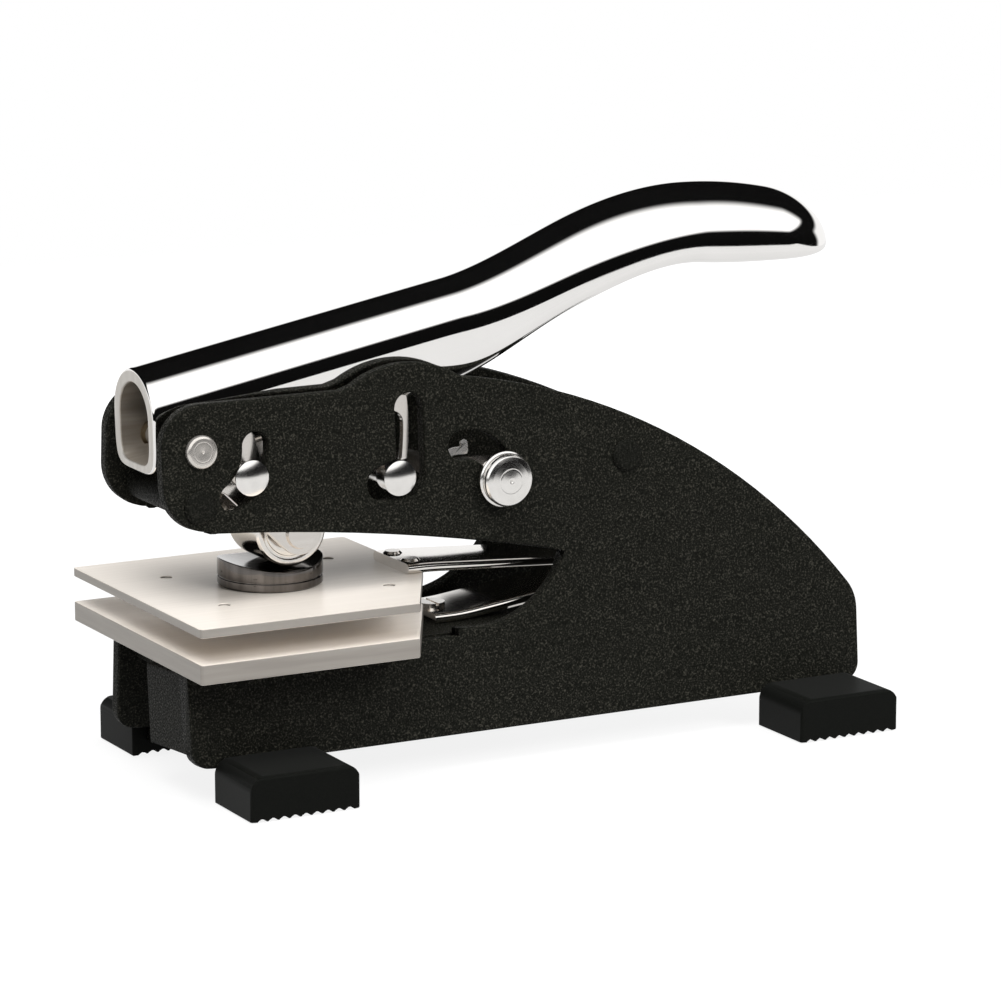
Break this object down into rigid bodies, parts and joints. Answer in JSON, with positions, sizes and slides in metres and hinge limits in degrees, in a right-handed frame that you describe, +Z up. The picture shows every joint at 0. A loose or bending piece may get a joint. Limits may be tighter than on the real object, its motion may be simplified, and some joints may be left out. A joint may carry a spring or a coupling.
{
  "type": "desk embossing press",
  "caption": "Desk embossing press: leaning side plates on rubber feet, a chrome hand lever whose roller presses an upper die plate on a lower one, a bow spring and a lock button.",
  "frame": {"origin": "under the middle of the press's box, on the desk", "axes": "+X from the die end to the hand grip, +Y to the right side (the lock button is on the left, -Y), +Z up"},
  "size_m": [0.2017, 0.0928, 0.1429],
  "materials": {
    "frame_paint": "near-black sparkle powder coat",
    "foot_rubber": "matt black rubber",
    "lever_chrome": "mirror chrome plating",
    "bright_steel": "polished steel",
    "dark_steel": "dark polished steel",
    "satin_nickel": "satin nickel, brushed along its length",
    "spring_steel": "polished spring steel",
    "bush_bronze": "plain bronze"
  },
  "bodies": {
    "frame": {"left_side_plate": "frame_paint", "right_side_plate": "frame_paint", "front_spacer_stud": "frame_paint", "rear_spacer_stud": "frame_paint", "pivot_rivet": "bright_steel", "die_bed": "frame_paint", "lower_die_plate": "satin_nickel", "lower_plate_screws": "bright_steel", "bow_spring": "spring_steel", "bow_screw": "bright_steel", "lock_shaft": "bright_steel", "lock_detent": "bright_steel", "front_left_foot": "foot_rubber", "front_right_foot": "foot_rubber", "rear_left_foot": "foot_rubber", "rear_right_foot": "foot_rubber"},
    "lever": {"handle_lever": "lever_chrome", "left_press_cheek": "bright_steel", "right_press_cheek": "bright_steel", "drive_pin": "bright_steel", "pivot_bushes": "bush_bronze", "roller_axle": "bright_steel", "roller_spacers": "bright_steel"},
    "roller": {"press_roller": "bright_steel"},
    "ram": {"upper_die_plate": "satin_nickel", "saddle_pad": "dark_steel", "pad_screw": "bright_steel", "bow_rivets": "bright_steel"},
    "lock": {"lock_bolt": "bright_steel", "lock_button": "lever_chrome", "lock_crank": "bright_steel"},
    "stop": {"stop_pin": "bright_steel"}
  },
  "joints": [
    {"name": "lever_pivot", "type": "hinge", "parent": "frame", "child": "lever", "pos_m": [-0.09045, 0, 0.0879], "axis": [0, 1, 0], "range_deg": [0, 13.2], "stiffness_Nm_per_rad": 1.2, "springref_deg": -34.38},
    {"name": "roller_spin", "type": "hinge", "parent": "lever", "child": "roller", "pos_m": [-0.06095, 0, 0.0636], "axis": [0, 1, 0], "continuous": true},
    {"name": "ram_slide", "type": "slide", "parent": "frame", "child": "ram", "axis": [0, 0, -1], "range_m": [0, 0.0063], "stiffness_N_per_m": 100, "springref_m": -0.02, "deforming": ["bow_spring"]},
    {"name": "lock_turn", "type": "hinge", "parent": "frame", "child": "lock", "pos_m": [-0.01625, 0, 0.0735], "axis": [0, 1, 0], "range_deg": [-50, 0]},
    {"name": "stop_shift", "type": "slide", "parent": "frame", "child": "stop", "axis": [-0.9118, 0, -0.4106], "range_m": [0, 0.0033]}
  ],
  "couplings": [
    {"joint": "ram_slide", "follows": "lever_pivot", "m_per_rad": 0.02734}
  ]
}
